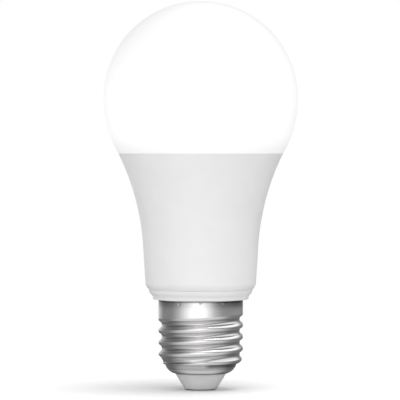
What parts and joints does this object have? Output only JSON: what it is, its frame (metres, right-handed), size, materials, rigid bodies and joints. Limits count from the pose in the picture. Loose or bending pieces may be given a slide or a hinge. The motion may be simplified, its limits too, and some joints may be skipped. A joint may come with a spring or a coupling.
{
  "type": "smart light bulb",
  "caption": "Radio-controlled LED light bulb with a round milky globe, a flared white jacket over a heat sink, and a rolled E27 screw cap.",
  "frame": {"origin": "tip of the centre contact, on the bulb's axis", "axes": "+Z along the bulb's axis from the cap to the top of the globe; -Y is the front, where the driver board's tall parts are; +X to the right seen from the front"},
  "size_m": [0.06, 0.06, 0.12],
  "materials": {
    "contact_metal": "dull tinned button, pressed",
    "cap_glass": "glossy moulded insulator, pale grey",
    "shell_metal": "bright nickel plate on thin rolled sheet",
    "collar_plastic": "satin white moulding",
    "jacket_plastic": "smooth satin white moulding over the heat sink",
    "globe_plastic": "milky diffuser, lit evenly from inside",
    "sealant": "white silicone bead",
    "sleeve_plastic": "natural white flame-proof moulding",
    "heat_sink_metal": "drawn and pressed sheet, dull",
    "thermal_pad": "soft grey-blue silicone sheet",
    "board_white": "aluminium-cored board with a white solder mask",
    "board_green": "glass-cloth board with a green solder mask",
    "board_blue": "thin glass-cloth board with a dark solder mask",
    "solder": "bright tin solder",
    "tinned_wire": "tinned copper",
    "lead_red": "red silicone sleeve",
    "lead_white": "white silicone sleeve",
    "can_sleeve": "shrink sleeve on an aluminium can",
    "film_box": "epoxy-dipped film capacitor",
    "resistor_paint": "lacquered wire-wound resistor",
    "varistor_paint": "epoxy-dipped disc",
    "ferrite": "dark grey ferrite",
    "copper_wire": "enamelled copper wire",
    "winding_tape": "yellow polyester tape over the winding",
    "bobbin_plastic": "black phenolic moulding",
    "chip_black": "black epoxy package",
    "chip_ceramic": "tan ceramic chip",
    "connector_black": "black moulded connector",
    "connector_pale": "natural white moulded connector",
    "gold_pin": "gold flash on brass pins",
    "shield_metal": "tinned folded sheet",
    "antenna_copper": "copper track under clear mask",
    "led_frame": "white reflector frame",
    "warm_phosphor": "amber phosphor in silicone",
    "cool_phosphor": "lemon phosphor in silicone",
    "screw_steel": "zinc-plated steel"
  },
  "bodies": {
    "root": {"centre_contact": "contact_metal", "cap_insulator": "cap_glass", "screw_shell": "shell_metal", "side_solder": "solder", "base_collar": "collar_plastic", "live_lead_core": "tinned_wire", "live_lead_sleeve": "lead_red", "neutral_lead_core": "tinned_wire", "neutral_lead_sleeve": "lead_white", "driver_sleeve": "sleeve_plastic", "driver_board": "board_green", "input_capacitor": "can_sleeve", "output_capacitor": "can_sleeve", "choke_core": "ferrite", "choke_winding": "copper_wire", "transformer_core": "ferrite", "transformer_bobbin": "bobbin_plastic", "transformer_winding": "winding_tape", "film_capacitor": "film_box", "bridge_rectifier": "chip_black", "driver_chip": "chip_black", "transistor_left": "chip_black", "transistor_right": "chip_black", "diode_low": "chip_black", "diode_high": "chip_black", "fuse_resistor": "resistor_paint", "varistor": "varistor_paint", "component_leads": "tinned_wire", "solder_joints": "solder", "chip_pins": "tinned_wire", "chip_resistors": "chip_black", "chip_capacitors": "chip_ceramic", "header_pins": "gold_pin", "driver_header": "connector_black", "light_socket": "connector_pale", "radio_header_pins": "gold_pin", "radio_header": "connector_black", "radio_board": "board_blue", "radio_chip": "chip_black", "radio_crystal": "shield_metal", "radio_can": "shield_metal", "radio_antenna": "antenna_copper", "housing_jacket": "jacket_plastic", "heat_sink_cup": "heat_sink_metal", "heat_spreader": "heat_sink_metal", "thermal_pad": "thermal_pad", "light_board": "board_white", "warm_led_frames": "led_frame", "warm_led_phosphor": "warm_phosphor", "cool_led_frames": "led_frame", "cool_led_phosphor": "cool_phosphor", "board_screw_1": "screw_steel", "board_screw_2": "screw_steel", "board_screw_3": "screw_steel", "globe_sealant": "sealant", "globe": "globe_plastic"}
  },
  "joints": []
}
